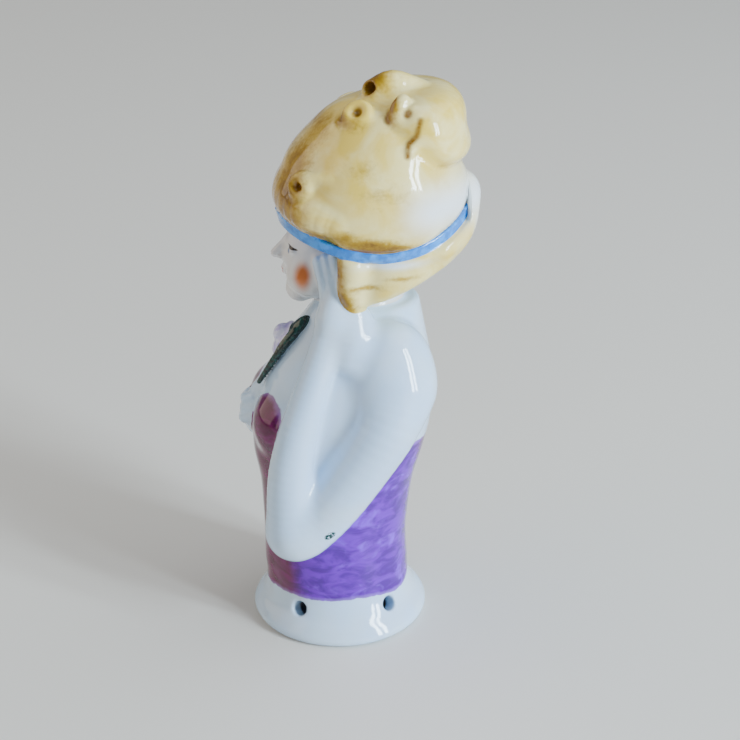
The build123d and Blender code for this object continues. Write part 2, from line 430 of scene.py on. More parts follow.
def nape_roll():
    """The hair below the ribbon: a side lock with a point by the jaw, rolled up high behind."""
    front_edge = everywhere(lambda points: -0.7 - points[:, 1])
    underside = everywhere(lambda points: 49.5 + 0.39 * (points[:, 1] - 0.7) - points[:, 2])
    roll = clip_to(clip_to(oval_stack(NAPE, end_soft=1.5), underside, 1.5), front_edge, 1.4)
    locks = both_sides([(8.9, 1.3, 58.4, 2.0), (8.9, 1.25, 55.6, 1.95), (8.6, 1.2, 52.8, 1.75),
                        (8.3, 1.3, 50.6, 1.25)])
    folds = both_sides([(11.2, 2.0, 53.2, 0.8), (12.0, 6.5, 54.8, 0.9), (10.9, 11.0, 56.0, 0.9),
                        (8.0, 15.8, 57.2, 0.8)])
    shape = carve(melt([roll] + locks, 1.6), folds, 1.8)
    rim = swag([(0, 17.5, 63.8, 1.35), (2.7, 17.1, 62.8, 1.35), (4.9, 16.0, 60.2, 1.2),
                (7.4, 13.3, 57.9, 1.0)])
    return clip_to(melt([shape, rim], 2.4), below_band(0.72), 0.9)


def hair_bun():
    """A broad cap of hair pinned over the crown, square at the back and undercut there."""
    cap = egg((0, 10.4, 73.2), (9.8, 6.2, 4.9), (-6, 0, 0))
    back = swag([(0, 13.6, 74.9, 3.1), (3.6, 13.0, 74.6, 3.1), (6.6, 10.6, 74.0, 3.2)])
    skirt = egg((0, 12.3, 71.0), (9.4, 5.3, 3.2), (-3, 0, 0))
    return melt([cap, back, skirt], 1.6)


def topknot():
    """A rolled lock over the bun, its open end facing forward and to the figure's left."""
    roll = limb([(0.9, 4.9, 77.4, 1.6), (0.7, 7.3, 78.0, 1.95), (0.3, 10.2, 77.0, 1.9)])
    opening = bone((2.4, 2.0, 78.3), (1.3, 5.0, 77.7), 1.0, 0.8)
    return carve(roll, [opening], 0.4)


def curl_spot(side, point):
    """The right side's curls sit lower down the crown's curve than the left side's."""
    x, y, z = point[:3]
    if side == RIGHT:
        x, z = x + max(0.3, 3.3 - 0.75 * (x - 5.2)), z - 2.2
    return (side * x, y, z) + tuple(point[3:])


def rosette(side):
    """A small flat curl with a round eye."""
    return ring(curl_spot(side, (5.2, 2.4, 75.5)), on_side(side, (0.62, -0.35, 0.7)), 1.3, 0.82)


def scroll(side):
    """A curl that opens from the bun's edge, with a tail running down the side of the head."""
    coil = [(6.2, 8.0, 77.3, 1.0), (6.8, 7.3, 76.4, 1.05), (7.7, 7.3, 75.1, 1.0), (8.2, 8.4, 74.6, 0.9),
            (8.0, 9.4, 75.3, 0.8), (7.4, 9.1, 76.2, 0.7)]
    tail = [(8.1, 9.9, 75.3, 0.75), (8.8, 10.0, 74.4, 0.7), (9.3, 9.4, 73.2, 0.65), (10.1, 8.4, 72.0, 0.5)]
    return melt([limb([curl_spot(side, spot) for spot in path]) for path in (coil, tail)], 0.9)


def temple(side):
    """A curl beside the brow with a short lock swept back from it."""
    middle = (7.4, -5.1, 67.0) if side == LEFT else (6.9, -4.3, 65.6)
    knot = ring(on_side(side, middle), on_side(side, (0.75, -0.65, 0.2)), 1.15, 0.75)
    offsets = [(0.5, 0.8, 1.0, 0.75), (1.2, 2.0, 1.4, 0.6), (1.9, 3.6, 1.5, 0.3)]
    sweep = [on_side(side, tuple(np.add(middle, way[:3])) + (way[3],)) for way in offsets]
    return melt([knot, limb(sweep)], 0.9)


def rose_bloom():
    """A half-open bloom lying flat on the chest."""
    outer = egg((0.9, -7.4, 43.4), (2.1, 1.0, 2.7), (-32, 0, 0))
    heart = egg((0.9, -7.8, 44.3), (1.1, 1.0, 1.3), (-32, 0, 0))
    return melt([outer, heart], 0.4)


def rose_stem():
    """The stalk, from the fingers up past the bloom."""
    return limb([(1.0, -11.0, 37.0, 0.35), (1.9, -10.0, 39.0, 0.42), (2.5, -8.7, 41.3, 0.5),
                 (2.8, -7.3, 43.4, 0.6), (2.8, -6.0, 45.0, 0.6)])


def rose_leaf():
    """One broad leaf at the stalk's upper end."""
    return egg((2.0, -5.5, 45.5), (1.2, 2.0, 0.75), (44, 0, 0))


# Each piece as (node, shape, how softly it melts into the pieces before it in this list)
PIECES = [
    ("body_casting", torso(), 0.0),
    ("head_casting", head(), 1.2),
    ("left_arm", left_arm(), 1.2),
    ("right_arm", right_arm(), 1.2),
    ("hair_crown", hair_crown(), 0.5),
    ("headband", headband(), 0.2),
    ("hair_nape_roll", nape_roll(), 0.5),
    ("hair_bun", hair_bun(), 0.9),
    ("hair_fringe", hair_fringe(), 0.8),
    ("hair_topknot", topknot(), 0.8),
    ("rosette_curl_left", rosette(LEFT), 0.8),
    ("rosette_curl_right", rosette(RIGHT), 0.8),
    ("scroll_curl_left", scroll(LEFT), 0.8),
    ("scroll_curl_right", scroll(RIGHT), 0.8),
    ("temple_curl_left", temple(LEFT), 0.8),
    ("temple_curl_right", temple(RIGHT), 0.8),
    ("rose_bloom", rose_bloom(), 0.4),
    ("rose_stem", rose_stem(), 0.3),
    ("rose_leaf", rose_leaf(), 0.3),
]
HOLLOWS = [base_hollow()] + [sew_hole(side, front) for side in (RIGHT, LEFT) for front in (-1, 1)]


# ---------------------------------------------------------------- from field to meshes
def piece_fields(points):
    """Raw distance to every piece, one row each."""
    return np.array([shape(points) for _, shape, _ in PIECES], np.float32)


def whole_field(points, fields=None):
    """Distance to the finished surface, with every join melted and the hollows taken out."""
    if fields is None:
        fields = piece_fields(points)
    value = fields[0].astype(float)
    for row, (_, _, soft) in zip(fields[1:], PIECES[1:]):
        value = melt_values(value, row, soft)
    for tool in HOLLOWS:
        value = -melt_values(-value, tool(points), 0.5)
    return value


def sample(points):
    """Finished distance and the index of the deepest piece at each point."""
    fields = piece_fields(points)
    return whole_field(points, fields), fields.argmin(0)


def grid_points(axes, index):
    """Coordinates of grid nodes from their three indices."""
    return np.stack([axes[k][index[k]] for k in range(3)], 1)


def sampled_grid(low, high):
    """Field and owner on a fine grid, worked out only near surfaces and seams."""
    ratio = int(round(1.0 / CELL))
    counts = np.ceil((high - low) / (CELL * ratio)).astype(int) + 1
    coarse_axes = [low[k] + CELL * ratio * np.arange(counts[k]) for k in range(3)]
    index = np.indices(counts).reshape(3, -1)
    value, owner = sample(grid_points(coarse_axes, index))
    value = value.reshape(counts)
    owner = owner.reshape(counts)
    code = np.where(value < 0, owner + 1, 0)
    busy = np.abs(value) < 1.6 * CELL * ratio
    for axis in range(3):
        change = np.diff(code, axis=axis) != 0
        pad_low = [(0, 0)] * 3
        pad_high = [(0, 0)] * 3
        pad_low[axis] = (0, 1)
        pad_high[axis] = (1, 0)
        busy |= np.pad(change, pad_low) | np.pad(change, pad_high)
    grown = busy.copy()
    for axis in range(3):
        grown |= np.roll(grown, 1, axis) | np.roll(grown, -1, axis)
    fine_counts = (counts - 1) * ratio + 1
    nearest = []
    for count, fine_count in zip(counts, fine_counts):
        coarse = np.round(np.arange(fine_count) / ratio).astype(int)
        nearest.append(np.clip(coarse, 0, count - 1))
    lookup = np.ix_(*nearest)
    fine_value = value[lookup].astype(np.float32)
    fine_owner = owner[lookup].astype(np.int16)
    fine_axes = [low[k] + CELL * np.arange(fine_counts[k]) for k in range(3)]
    todo = np.argwhere(grown[lookup]).T
    for start in range(0, todo.shape[1], BATCH):
        part = todo[:, start:start + BATCH]
        value_part, owner_part = sample(grid_points(fine_axes, part))
        fine_value[tuple(part)] = value_part
        fine_owner[tuple(part)] = owner_part
    return fine_axes, fine_value, fine_owner


def cell_corners():
    """Offsets of a grid cell's eight corners."""
    return [(i, j, k) for i in (0, 1) for j in (0, 1) for k in (0, 1)]


def shifted(volume, corner):
    """The volume's value at one corner of every cell."""
    i, j, k = corner
    nx, ny, nz = volume.shape
    return volume[i:nx - 1 + i, j:ny - 1 + j, k:nz - 1 + k]


def boundary_cells(code):
    """Indices of the cells whose corners aren't all in the same piece or all in the air."""
    first = shifted(code, (0, 0, 0))
    active = np.zeros(first.shape, bool)
    for corner in cell_corners()[1:]:
        active |= shifted(code, corner) != first
    return np.argwhere(active)


def cell_vertices(corner_code, corner_value):
    """A spot in each cell, amid its crossings into the air or, inside the clay, amid them all."""
    count = len(corner_code[0, 0, 0])
    total = np.zeros((count, 3))
    hits = np.zeros(count)
    outer_total = np.zeros((count, 3))
    outer_hits = np.zeros(count)
    for axis in range(3):
        for corner in cell_corners():
            if corner[axis]:
                continue
            other = tuple(1 if k == axis else corner[k] for k in range(3))
            a, b = corner_code[corner], corner_code[other]
            va, vb = corner_value[corner], corner_value[other]
            cut = a != b
            outer = cut & ((a == 0) | (b == 0))
            share = np.where(outer, np.clip(va / np.where(outer, va - vb, 1.0), 0.02, 0.98), 0.5)
            spot = np.tile(np.array(corner, float), (count, 1))
            spot[:, axis] = share
            total += spot * cut[:, None]
            hits += cut
            outer_total += spot * outer[:, None]
            outer_hits += outer
    outer_mean = outer_total / np.maximum(outer_hits, 1)[:, None]
    return np.where((outer_hits > 0)[:, None], outer_mean, total / hits[:, None])


def boundary_quads(code, number):
    """A quad across every grid edge whose ends differ, with the codes of those two ends."""
    quads = []
    for axis in range(3):
        lower = [slice(None)] * 3
        upper = [slice(None)] * 3
        lower[axis] = slice(0, -1)
        upper[axis] = slice(1, None)
        a = code[tuple(lower)]
        b = code[tuple(upper)]
        change = np.argwhere(a != b)
        u, w = [k for k in range(3) if k != axis]
        inside = (change[:, u] > 0) & (change[:, w] > 0)
        inside &= (change[:, u] < number.shape[u]) & (change[:, w] < number.shape[w])
        change = change[inside]
        corners = []
        for du, dw in ((-1, -1), (0, -1), (0, 0), (-1, 0)):
            cell = change.copy()
            cell[:, u] += du
            cell[:, w] += dw
            corners.append(number[tuple(cell.T)])
        quad = np.stack(corners, 1)
        if axis == 1:
            quad = quad[:, ::-1]
        quads.append((quad, a[tuple(change.T)], b[tuple(change.T)]))
    return [np.concatenate(column) for column in zip(*quads)]


def surface_nets(axes, value, owner):
    """One vertex in every cell that holds a boundary, and a quad across every changed edge."""
    code = np.where(value < 0, owner + 1, 0).astype(np.int16)
    cells = boundary_cells(code)
    number = np.full([size - 1 for size in code.shape], -1, np.int32)
    number[tuple(cells.T)] = np.arange(len(cells))
    corner_code = {corner: code[tuple((cells + corner).T)] for corner in cell_corners()}
    corner_value = {corner: value[tuple((cells + corner).T)] for corner in cell_corners()}
    origin = np.array([axis[0] for axis in axes])
    verts = origin + (cells + cell_vertices(corner_code, corner_value)) * CELL
    stack = np.stack(list(corner_code.values()))
    has_air = stack.min(0) == 0
    low_piece = np.where(stack == 0, 999, stack).min(0)
    high_piece = stack.max(0)
    faces, before, after = boundary_quads(code, number)
    return verts, faces, before, after, (has_air, low_piece, high_piece)


def slope_of(function, points, step=0.04):
    """Value and gradient of a function by differences."""
    base = function(points)
    slopes = []
    for axis in range(3):
        shift = np.zeros(3)
        shift[axis] = step
        slopes.append((function(points + shift) - function(points - shift)) / (2 * step))
    return base, np.stack(slopes, 1)


def settle(verts, has_air, low_piece, high_piece):
    """Moves each vertex onto the surface, and onto the seam where two pieces meet in it."""
    limit = CELL * 0.9
    start = verts.copy()
    seam = low_piece != high_piece
    rows = np.arange(len(verts))

    def seam_value(points, pick):
        fields = piece_fields(points)
        columns = np.arange(len(points))
        return (fields[low_piece[pick] - 1, columns] - fields[high_piece[pick] - 1, columns]).astype(float)

    for _ in range(2):
        pick = rows[seam]
        value, slope = slope_of(lambda p: seam_value(p, pick), verts[pick])
        size = np.maximum((slope * slope).sum(1), 0.2)
        verts[pick] -= slope * (value / size)[:, None]
        pick = rows[has_air]
        value, slope = slope_of(whole_field, verts[pick])
        size = np.maximum((slope * slope).sum(1), 0.2)
        verts[pick] -= slope * (value / size)[:, None]
        move = verts - start
        length = np.sqrt((move * move).sum(1))
        verts = start + move * np.minimum(1.0, limit / np.maximum(length, 1e-9))[:, None]
    return verts


def surface_normals(verts):
    """Directions of the finished field's slope, shared by every piece at a seam."""
    _, slope = slope_of(whole_field, verts)
    return slope / np.maximum(np.sqrt((slope * slope).sum(1)), 1e-6)[:, None]


def make_mesh(name, verts, faces, normals):
    """An object from vertices in mm and quads, shaded with the field's own normals."""
    mesh = bpy.data.meshes.new(name)
    mesh.vertices.add(len(verts))
    mesh.vertices.foreach_set("co", (verts * MM).astype(np.float32).ravel())
    mesh.loops.add(faces.size)
    mesh.loops.foreach_set("vertex_index", faces.astype(np.int32).ravel())
    mesh.polygons.add(len(faces))
    mesh.polygons.foreach_set("loop_start", np.arange(0, faces.size, 4, dtype=np.int32))
    mesh.polygons.foreach_set("use_smooth", np.ones(len(faces), bool))
    mesh.update(calc_edges=True)
    mesh.validate()
    mesh.normals_split_custom_set_from_vertices(normals)
    obj = bpy.data.objects.new(name, mesh)
    bpy.context.scene.collection.objects.link(obj)
    return obj


def sculpt():
    """Every piece as its own closed mesh, by node name."""
    low = np.min([node_box(name)[0] for name, _, _ in PIECES], 0) - 2.0
    high = np.max([node_box(name)[1] for name, _, _ in PIECES], 0) + 2.0
    axes, value, owner = sampled_grid(low, high)
    verts, faces, before, after, kinds = surface_nets(axes, value, owner)
    verts = settle(verts, *kinds)
    normals = surface_normals(verts)
    made = {}
    for index, (name, _, _) in enumerate(PIECES):
        own = np.concatenate([faces[before == index + 1], faces[after == index + 1][:, ::-1]])
        used, flat = np.unique(own.ravel(), return_inverse=True)
        obj = make_mesh(name + "_glazed", verts[used], flat.reshape(-1, 4), normals[used])
        made[name] = (obj, verts[used])
    return made


# ---------------------------------------------------------------- where the paint lies
def dress_depth(v):
    """Distance inside the painted dress: between the wavy hem and the bodice's edge."""
    x, y, z = v.T
    turn = np.arctan2(y, x)
    hem = 6.25 + 0.35 * np.sin(3 * turn + 2.2) + 0.25 * np.sin(5 * turn)
    across = np.abs(x)
    bodice = np.maximum(32.4, 37.1 - 0.2 * (across - 5.6) ** 2)
    back = 29.0 + 0.012 * x * x
    top = back + (bodice - back) * soft_step(-y, -9.0, 3.0)
    under_arm = np.sqrt(((across - 12) / 5) ** 2 + ((y + 0.5) / 5.5) ** 2 + ((z - 33) / 8) ** 2)
    return np.minimum(np.minimum(z - hem, top - z), (under_arm - 1) * 4)


def painted_warm_light_front(v):
    """Painted light: 1 on the figure's front, where the enamel is tinted magenta as if by the warm front
    fill, 0 on its sides, which keep the violet of the cool window light; the extra share down the middle of
    the back is a painted magenta edge reflection.
    """
    front = soft_step(-v[:, 1] - 0.35 * np.abs(v[:, 0]), 0.5, 9.5)
    return front + 0.5 * soft_step(v[:, 1] - 0.3 * np.abs(v[:, 0]), 6.5, 11.0)


def blots(v, spots, place=on_side):
    """Soft spots of colour on both sides of the head, each as (middle, radii, strength)."""
    total = np.zeros(len(v))
    for side in (LEFT, RIGHT):
        for middle, radii, strength in spots:
            away = (v - place(side, middle)) / radii
            total = 1 - (1 - total) * (1 - strength * np.exp(-np.sum(away ** 2, axis=1)))
    return total


def hair_paint_and_shade_strength(v):
    """Strength of the ochre on the hair: its own ochre paint on the front, top and sides, and painted shade
    in the crease over the ribbon, under the bun's back edge, in the topknot's opening, along the nape
    roll's folds and beside the scroll.
    """
    broad = blots(v, [
        ((0.0, -8.0, 64.6), (3.6, 3.0, 4.6), 0.25),
        ((5.2, -6.8, 62.6), (4.2, 2.8, 2.6), 0.9),
        ((5.6, -6.6, 66.4), (3.2, 2.6, 3.2), 0.95),
        ((4.0, -5.4, 70.5), (3.4, 2.8, 4.0), 0.65),
        ((3.0, -2.8, 74.2), (3.5, 2.4, 1.8), 0.6),
        # painted shade in the topknot's opening
        ((1.0, 5.2, 78.6), (1.9, 2.1, 1.5), 1.0),
        # painted shade in the crease where the crown meets the ribbon, over the ear
        ((10.3, 0.2, 61.4), (1.6, 1.4, 1.0), 1.0),
        ((11.4, 3.2, 60.1), (1.8, 3.2, 1.1), 1.0),
        ((11.5, 6.4, 59.4), (1.8, 2.8, 0.8), 1.0),
        ((9.0, -2.8, 61.2), (1.4, 2.0, 0.8), 0.9),
        # painted shade under the bun's undercut back edge
        ((5.0, 15.3, 71.0), (1.5, 1.0, 1.8), 0.5),
        ((7.0, 13.0, 69.6), (2.4, 1.6, 0.7), 0.5),
        ((11.4, 5.3, 66.8), (1.8, 2.8, 1.4), 0.4),
        ((11.0, 2.2, 69.8), (1.6, 2.2, 1.2), 0.35),
        ((9.6, -0.6, 55.8), (1.1, 0.9, 2.8), 0.9),
        ((9.0, 0.2, 51.6), (1.8, 1.5, 2.4), 1.0),
        # painted shade along the carved folds of the nape roll
        ((10.2, 3.0, 53.8), (1.3, 2.4, 0.45), 0.7),
        ((10.4, 8.0, 55.0), (1.3, 3.4, 0.4), 0.5),
    ])
    round_curls = blots(v, [
        ((5.0, 0.1, 75.0), (1.5, 1.1, 1.1), 0.9),
        ((6.1, 2.1, 74.4), (1.8, 1.6, 0.9), 0.6),
        # painted shade in the groove beside the scroll curl
        ((6.9, 6.7, 76.0), (1.4, 0.9, 2.0), 1.0),
    ], curl_spot)
    return np.maximum(broad, round_curls)


def curl_shade_and_lines(v):
    """Darker ochre in the eyes of the curls, in the topknot's opening and in the groove beside the scroll,
    as painted shade; down the scroll's tail as a painted line; and over the ribbon, as painted shade in the
    crease there.
    """
    lines = [
        # the eyes of the curls, the groove beside the scroll and the last pair, in the crease over the
        # ribbon, hold painted shade; the scroll's tail is a painted line
        (curl_spot, (5.5, 2.2, 75.9), (5.8, 2.1, 76.3), 0.5),
        (curl_spot, (6.4, 6.6, 77.6), (7.4, 6.2, 75.2), 0.55),
        (curl_spot, (8.0, 8.5, 76.0), (8.2, 8.4, 76.2), 0.45),
        (curl_spot, (9.4, 9.8, 75.7), (10.0, 9.3, 73.9), 0.2),
        (curl_spot, (10.0, 9.3, 73.9), (10.0, 8.3, 72.9), 0.2),
        (curl_spot, (10.0, 8.3, 72.9), (10.6, 8.1, 71.5), 0.2),
        (on_side, (7.5, -5.2, 67.1), (7.8, -5.5, 67.1), 0.5),
        (on_side, (10.5, 1.0, 59.6), (12.2, 6.4, 58.9), 0.25),
    ]
    # painted shade in the topknot's opening
    strokes = [bone((2.6, 1.8, 78.4), (1.3, 5.2, 77.7), 0.9, 0.75)]
    for place, start, end, width in lines:
        strokes += [bone(place(side, start), place(side, end), width, width) for side in (LEFT, RIGHT)]
    gap = np.min([stroke.distance(v) for stroke in strokes], axis=0)
    return 1 - soft_step(gap, -0.1, 0.45)


def bare_glaze(v):
    """Where the china shows white through the hair: low on the crown's back and on the rim."""
    y = v[:, 1]
    crown = soft_step(y, 5.0, 12.0) * np.exp(-((v[:, 2] - 64.0) / 3.2) ** 2)
    rim = soft_step(y, 16.8, 18.4)
    strip = np.exp(-((v[:, 2] - 57.0) / 0.6) ** 2 - ((y - 6.5) / 4.0) ** 2)
    return np.maximum(np.maximum(crown, 0.7 * rim), strip)


PAINTS = {
    "dress": dress_depth,
    # painted light: the dress's magenta where the warm front fill falls, violet on its sides
    "front": painted_warm_light_front,
    "hair_paint_and_shade": hair_paint_and_shade_strength,
    # the hair's ochre paint together with painted shade in its folds, crease and openings
    "line": curl_shade_and_lines,
    # painted shade in the curls' eyes and creases, and the scroll's painted tail line
    "bare": bare_glaze,
}


def store_paint(obj, verts, names):
    """Keeps each named paint's strength on the mesh, where the glazes read it."""
    for name in names:
        layer = obj.data.attributes.new(name, "FLOAT", "POINT")
        layer.data.foreach_set("value", PAINTS[name](verts).astype(np.float32))


# ---------------------------------------------------------------- glazes and enamels
class Glaze:
    """A glossy fired-glaze material and short calls to build its colour."""

    def __init__(self, name, roughness=0.07, wave=0.25, depth=0.12):
        self.material = bpy.data.materials.new(name)
        self.material.use_nodes = True
        self.tree = self.material.node_tree
        self.shader = self.tree.nodes["Principled BSDF"]
        self.shader.inputs["Roughness"].default_value = roughness
        self.shader.inputs["IOR"].default_value = 1.52
        self.shader.inputs["Coat Weight"].default_value = 0.1
        self.shader.inputs["Coat Roughness"].default_value = 0.03
        self.shader.inputs["Subsurface Weight"].default_value = depth
        self.shader.inputs["Subsurface Radius"].default_value = (1.0, 0.95, 0.9)
        self.shader.inputs["Subsurface Scale"].default_value = 1.2 * MM
        self.coords = self.add("ShaderNodeTexCoord").outputs["Object"]
        self.ripple(wave)

    def add(self, kind, **settings):
        made = self.tree.nodes.new(kind)
        for key, value in settings.items():
            setattr(made, key, value)
        return made

    def feed(self, socket, value):
        if isinstance(value, bpy.types.NodeSocket):
            self.tree.links.new(value, socket)
        elif isinstance(value, tuple) and len(value) == 3 and socket.type == "RGBA":
            socket.default_value = (*value, 1.0)
        else:
            socket.default_value = value

    def noise(self, size_mm, detail=3.0, stretch=(1, 1, 1), turn=(0, 0, 0), distort=0.0):
        """Noise from 0 to 1 whose blots are about size_mm across."""
        mapping = self.add("ShaderNodeMapping")
        mapping.inputs["Scale"].default_value = stretch
        mapping.inputs["Rotation"].default_value = [math.radians(angle) for angle in turn]
        self.feed(mapping.inputs["Vector"], self.coords)
        made = self.add("ShaderNodeTexNoise")
        made.inputs["Scale"].default_value = 1.0 / (size_mm * MM)
        made.inputs["Detail"].default_value = detail
        made.inputs["Distortion"].default_value = distort
        self.feed(made.inputs["Vector"], mapping.outputs[0])
        return made.outputs["Fac"]

    def paint(self, name):
        return self.add("ShaderNodeAttribute", attribute_name=name).outputs["Fac"]

    def maths(self, operation, a, b):
        made = self.add("ShaderNodeMath", operation=operation)
        self.feed(made.inputs[0], a)
        self.feed(made.inputs[1], b)
        return made.outputs[0]

    def step(self, value, low, high, to_low=0.0, to_high=1.0):
        made = self.add("ShaderNodeMapRange", interpolation_type="SMOOTHSTEP")
        self.feed(made.inputs["Value"], value)
        for socket, number in zip(made.inputs[1:5], (low, high, to_low, to_high)):
            socket.default_value = number
        return made.outputs[0]

    def mix(self, share, a, b):
        made = self.add("ShaderNodeMix", data_type="RGBA")
        self.feed(made.inputs[0], share)
        self.feed(made.inputs[6], a)
        self.feed(made.inputs[7], b)
        return made.outputs[2]

    def spot(self, middle, radii, turn=(0, 0, 0), hard=0.8):
        """A painted oval: 1 inside, 0 outside, in the row frame's millimetres."""
        mapping = self.add("ShaderNodeMapping", vector_type="TEXTURE")
        mapping.inputs["Location"].default_value = [number * MM for number in middle]
        mapping.inputs["Rotation"].default_value = [math.radians(angle) for angle in turn]
        mapping.inputs["Scale"].default_value = [number * MM for number in radii]
        self.feed(mapping.inputs["Vector"], self.coords)
        length = self.add("ShaderNodeVectorMath", operation="LENGTH")
        self.feed(length.inputs[0], mapping.outputs[0])
        return self.step(length.outputs["Value"], 1.0, hard, 0.0, 1.0)

    def ripple(self, strength):
        """The slow waviness of a poured glaze, with a few pinholes' worth of fine unevenness."""
        slow = self.noise(3.2, 1.0)
        fine = self.noise(0.5, 2.0)
        height = self.maths("ADD", slow, self.maths("MULTIPLY", fine, 0.06))
        self.bump = self.add("ShaderNodeBump")
        self.bump.inputs["Strength"].default_value = strength
        self.bump.inputs["Distance"].default_value = 0.25 * MM
        self.feed(self.bump.inputs["Height"], height)
        self.feed(self.shader.inputs["Normal"], self.bump.outputs[0])

    def colour(self, value):
        self.feed(self.shader.inputs["Base Color"], value)
        return self.material


# Base colours, linear
WHITE = (0.50, 0.68, 0.90)
WARM_WHITE = (0.62, 0.70, 0.76)
# Painted warm light: the magenta copies of the dress enamel for the front and the middle of the back; the
# violets below are its copies in the cool window light.
DEEP_PLUM_WARM_LIGHT = (0.085, 0.0, 0.04)
PLUM_WARM_LIGHT = (0.17, 0.0, 0.10)
DEEP_VIOLET = (0.075, 0.0, 0.26)
VIOLET = (0.15, 0.0, 0.52)
BRIGHT_VIOLET = (0.22, 0.03, 0.80)
LILAC = (0.5, 0.34, 0.9)
FLESH = (0.82, 0.70, 0.58)
ROUGE = (0.52, 0.12, 0.0)
EYE_BLUE = (0.08, 0.16, 0.36)
LASH = (0.01, 0.006, 0.01)
BROW = (0.20, 0.09, 0.02)
UPPER_LIP = (0.55, 0.03, 0.02)
LOWER_LIP = (0.55, 0.04, 0.03)
CREAM = (0.86, 0.72, 0.30)
YELLOW = (0.78, 0.56, 0.10)
BARE = (0.80, 0.84, 0.86)
# ochre and brown: the hair's own paint, and painted shade in its folds, crease and openings
OCHRE_PAINT_AND_SHADE = (0.40, 0.23, 0.004)
BROWN_PAINT_AND_SHADE = (0.15, 0.058, 0.0)
# painted shade in the curls' eyes and creases, and the scroll's painted tail line
SHADE_AND_LINE_BROWN = (0.22, 0.09, 0.002)
RIBBON_BLUE = (0.008, 0.17, 0.60)
RIBBON_PALE = (0.03, 0.30, 0.85)
LAVENDER = (0.66, 0.66, 0.86)
MAUVE = (0.42, 0.36, 0.74)
DARK_GREEN = (0.004, 0.016, 0.012)
GREEN = (0.012, 0.075, 0.06)
DAB_GREEN = (0.0, 0.035, 0.03)


def china(glaze):
    """Bare white porcelain, a little warmer where the glaze is thin."""
    return glaze.mix(glaze.step(glaze.noise(9.0, 2.0), 0.4, 0.7, 0.0, 0.5), WHITE, WARM_WHITE)


def body_glaze():
    """White china with the violet dress brushed over it, in painted light: magenta where the warm front
    fill falls and on the middle of the back, violet on the sides.
    """
    g = Glaze("dress_and_china")
    streak = g.noise(2.4, 5.0, stretch=(0.7, 0.7, 1.7), turn=(28, 18, 0), distort=1.0)
    cloud = g.noise(4.5, 2.0)
    # painted light: the share of the dress turned magenta by the warm front fill
    front = g.maths("ADD", g.paint("front"), g.maths("MULTIPLY", g.maths("SUBTRACT", cloud, 0.5), 0.6))
    plum_in_warm_light = g.mix(g.step(streak, 0.3, 0.75), DEEP_PLUM_WARM_LIGHT, PLUM_WARM_LIGHT)
    violet = g.mix(g.step(streak, 0.36, 0.64), DEEP_VIOLET, VIOLET)
    patch = g.noise(3.4, 4.0, stretch=(1, 1, 1.5), distort=0.8)
    violet = g.mix(g.step(patch, 0.52, 0.8), violet, BRIGHT_VIOLET)
    # painted light: magenta copy of the enamel on the front, violet copy on the sides
    enamel = g.mix(g.step(front, 0.1, 0.7), violet, plum_in_warm_light)
    wobble = g.maths("MULTIPLY", g.maths("SUBTRACT", g.noise(1.1, 2.0), 0.5), 0.5)
    edge = g.maths("ADD", g.paint("dress"), wobble)
    enamel = g.mix(g.step(edge, 0.0, 0.7), g.mix(0.3, enamel, LILAC), enamel)
    return g.colour(g.mix(g.step(edge, -0.06, 0.10), china(g), enamel))


def arm_glaze():
    """White china with one stray dab of green enamel near the left elbow."""
    g = Glaze("arm_china")
    oval = g.spot((14.6, -2.5, 20.1), (1.6, 1.0, 0.7), (30, 0, 0), 0.7)
    dab = g.maths("MULTIPLY", oval, g.step(g.noise(0.55, 2.0), 0.40, 0.46))
    return g.colour(g.mix(dab, china(g), DAB_GREEN))


def face_glaze():
    """White china with the doll's painted brows, lids, lips and cheeks."""
    g = Glaze("face_china", wave=0.1)
    colour = g.mix(0.6, china(g), FLESH)
    for side in (RIGHT, LEFT):
        cheek = g.spot((side * 4.7, -4.9, 53.7), (2.3, 2.1, 3.2), (0, 0, 0), 0.0)
        colour = g.mix(g.step(cheek, 0.05, 0.8, 0.0, 0.95), colour, ROUGE)
        iris = g.spot((side * 2.6, -6.8, 56.6), (0.45, 1.2, 0.38))
        colour = g.mix(iris, colour, EYE_BLUE)
        lash = g.spot((side * 2.9, -6.6, 57.1), (1.4, 1.6, 0.18), (0, side * 8, 0))
        colour = g.mix(lash, colour, LASH)
        brow = g.spot((side * 2.8, -6.6, 58.6), (1.3, 1.5, 0.15), (0, side * 10, 0))
        colour = g.mix(g.maths("MULTIPLY", brow, 0.8), colour, BROW)
    colour = g.mix(g.spot((0, -7.3, 53.4), (1.0, 1.0, 0.28), hard=0.5), colour, UPPER_LIP)
    colour = g.mix(g.spot((0, -7.2, 52.9), (0.75, 1.0, 0.28), hard=0.5), colour, LOWER_LIP)
    return g.colour(colour)


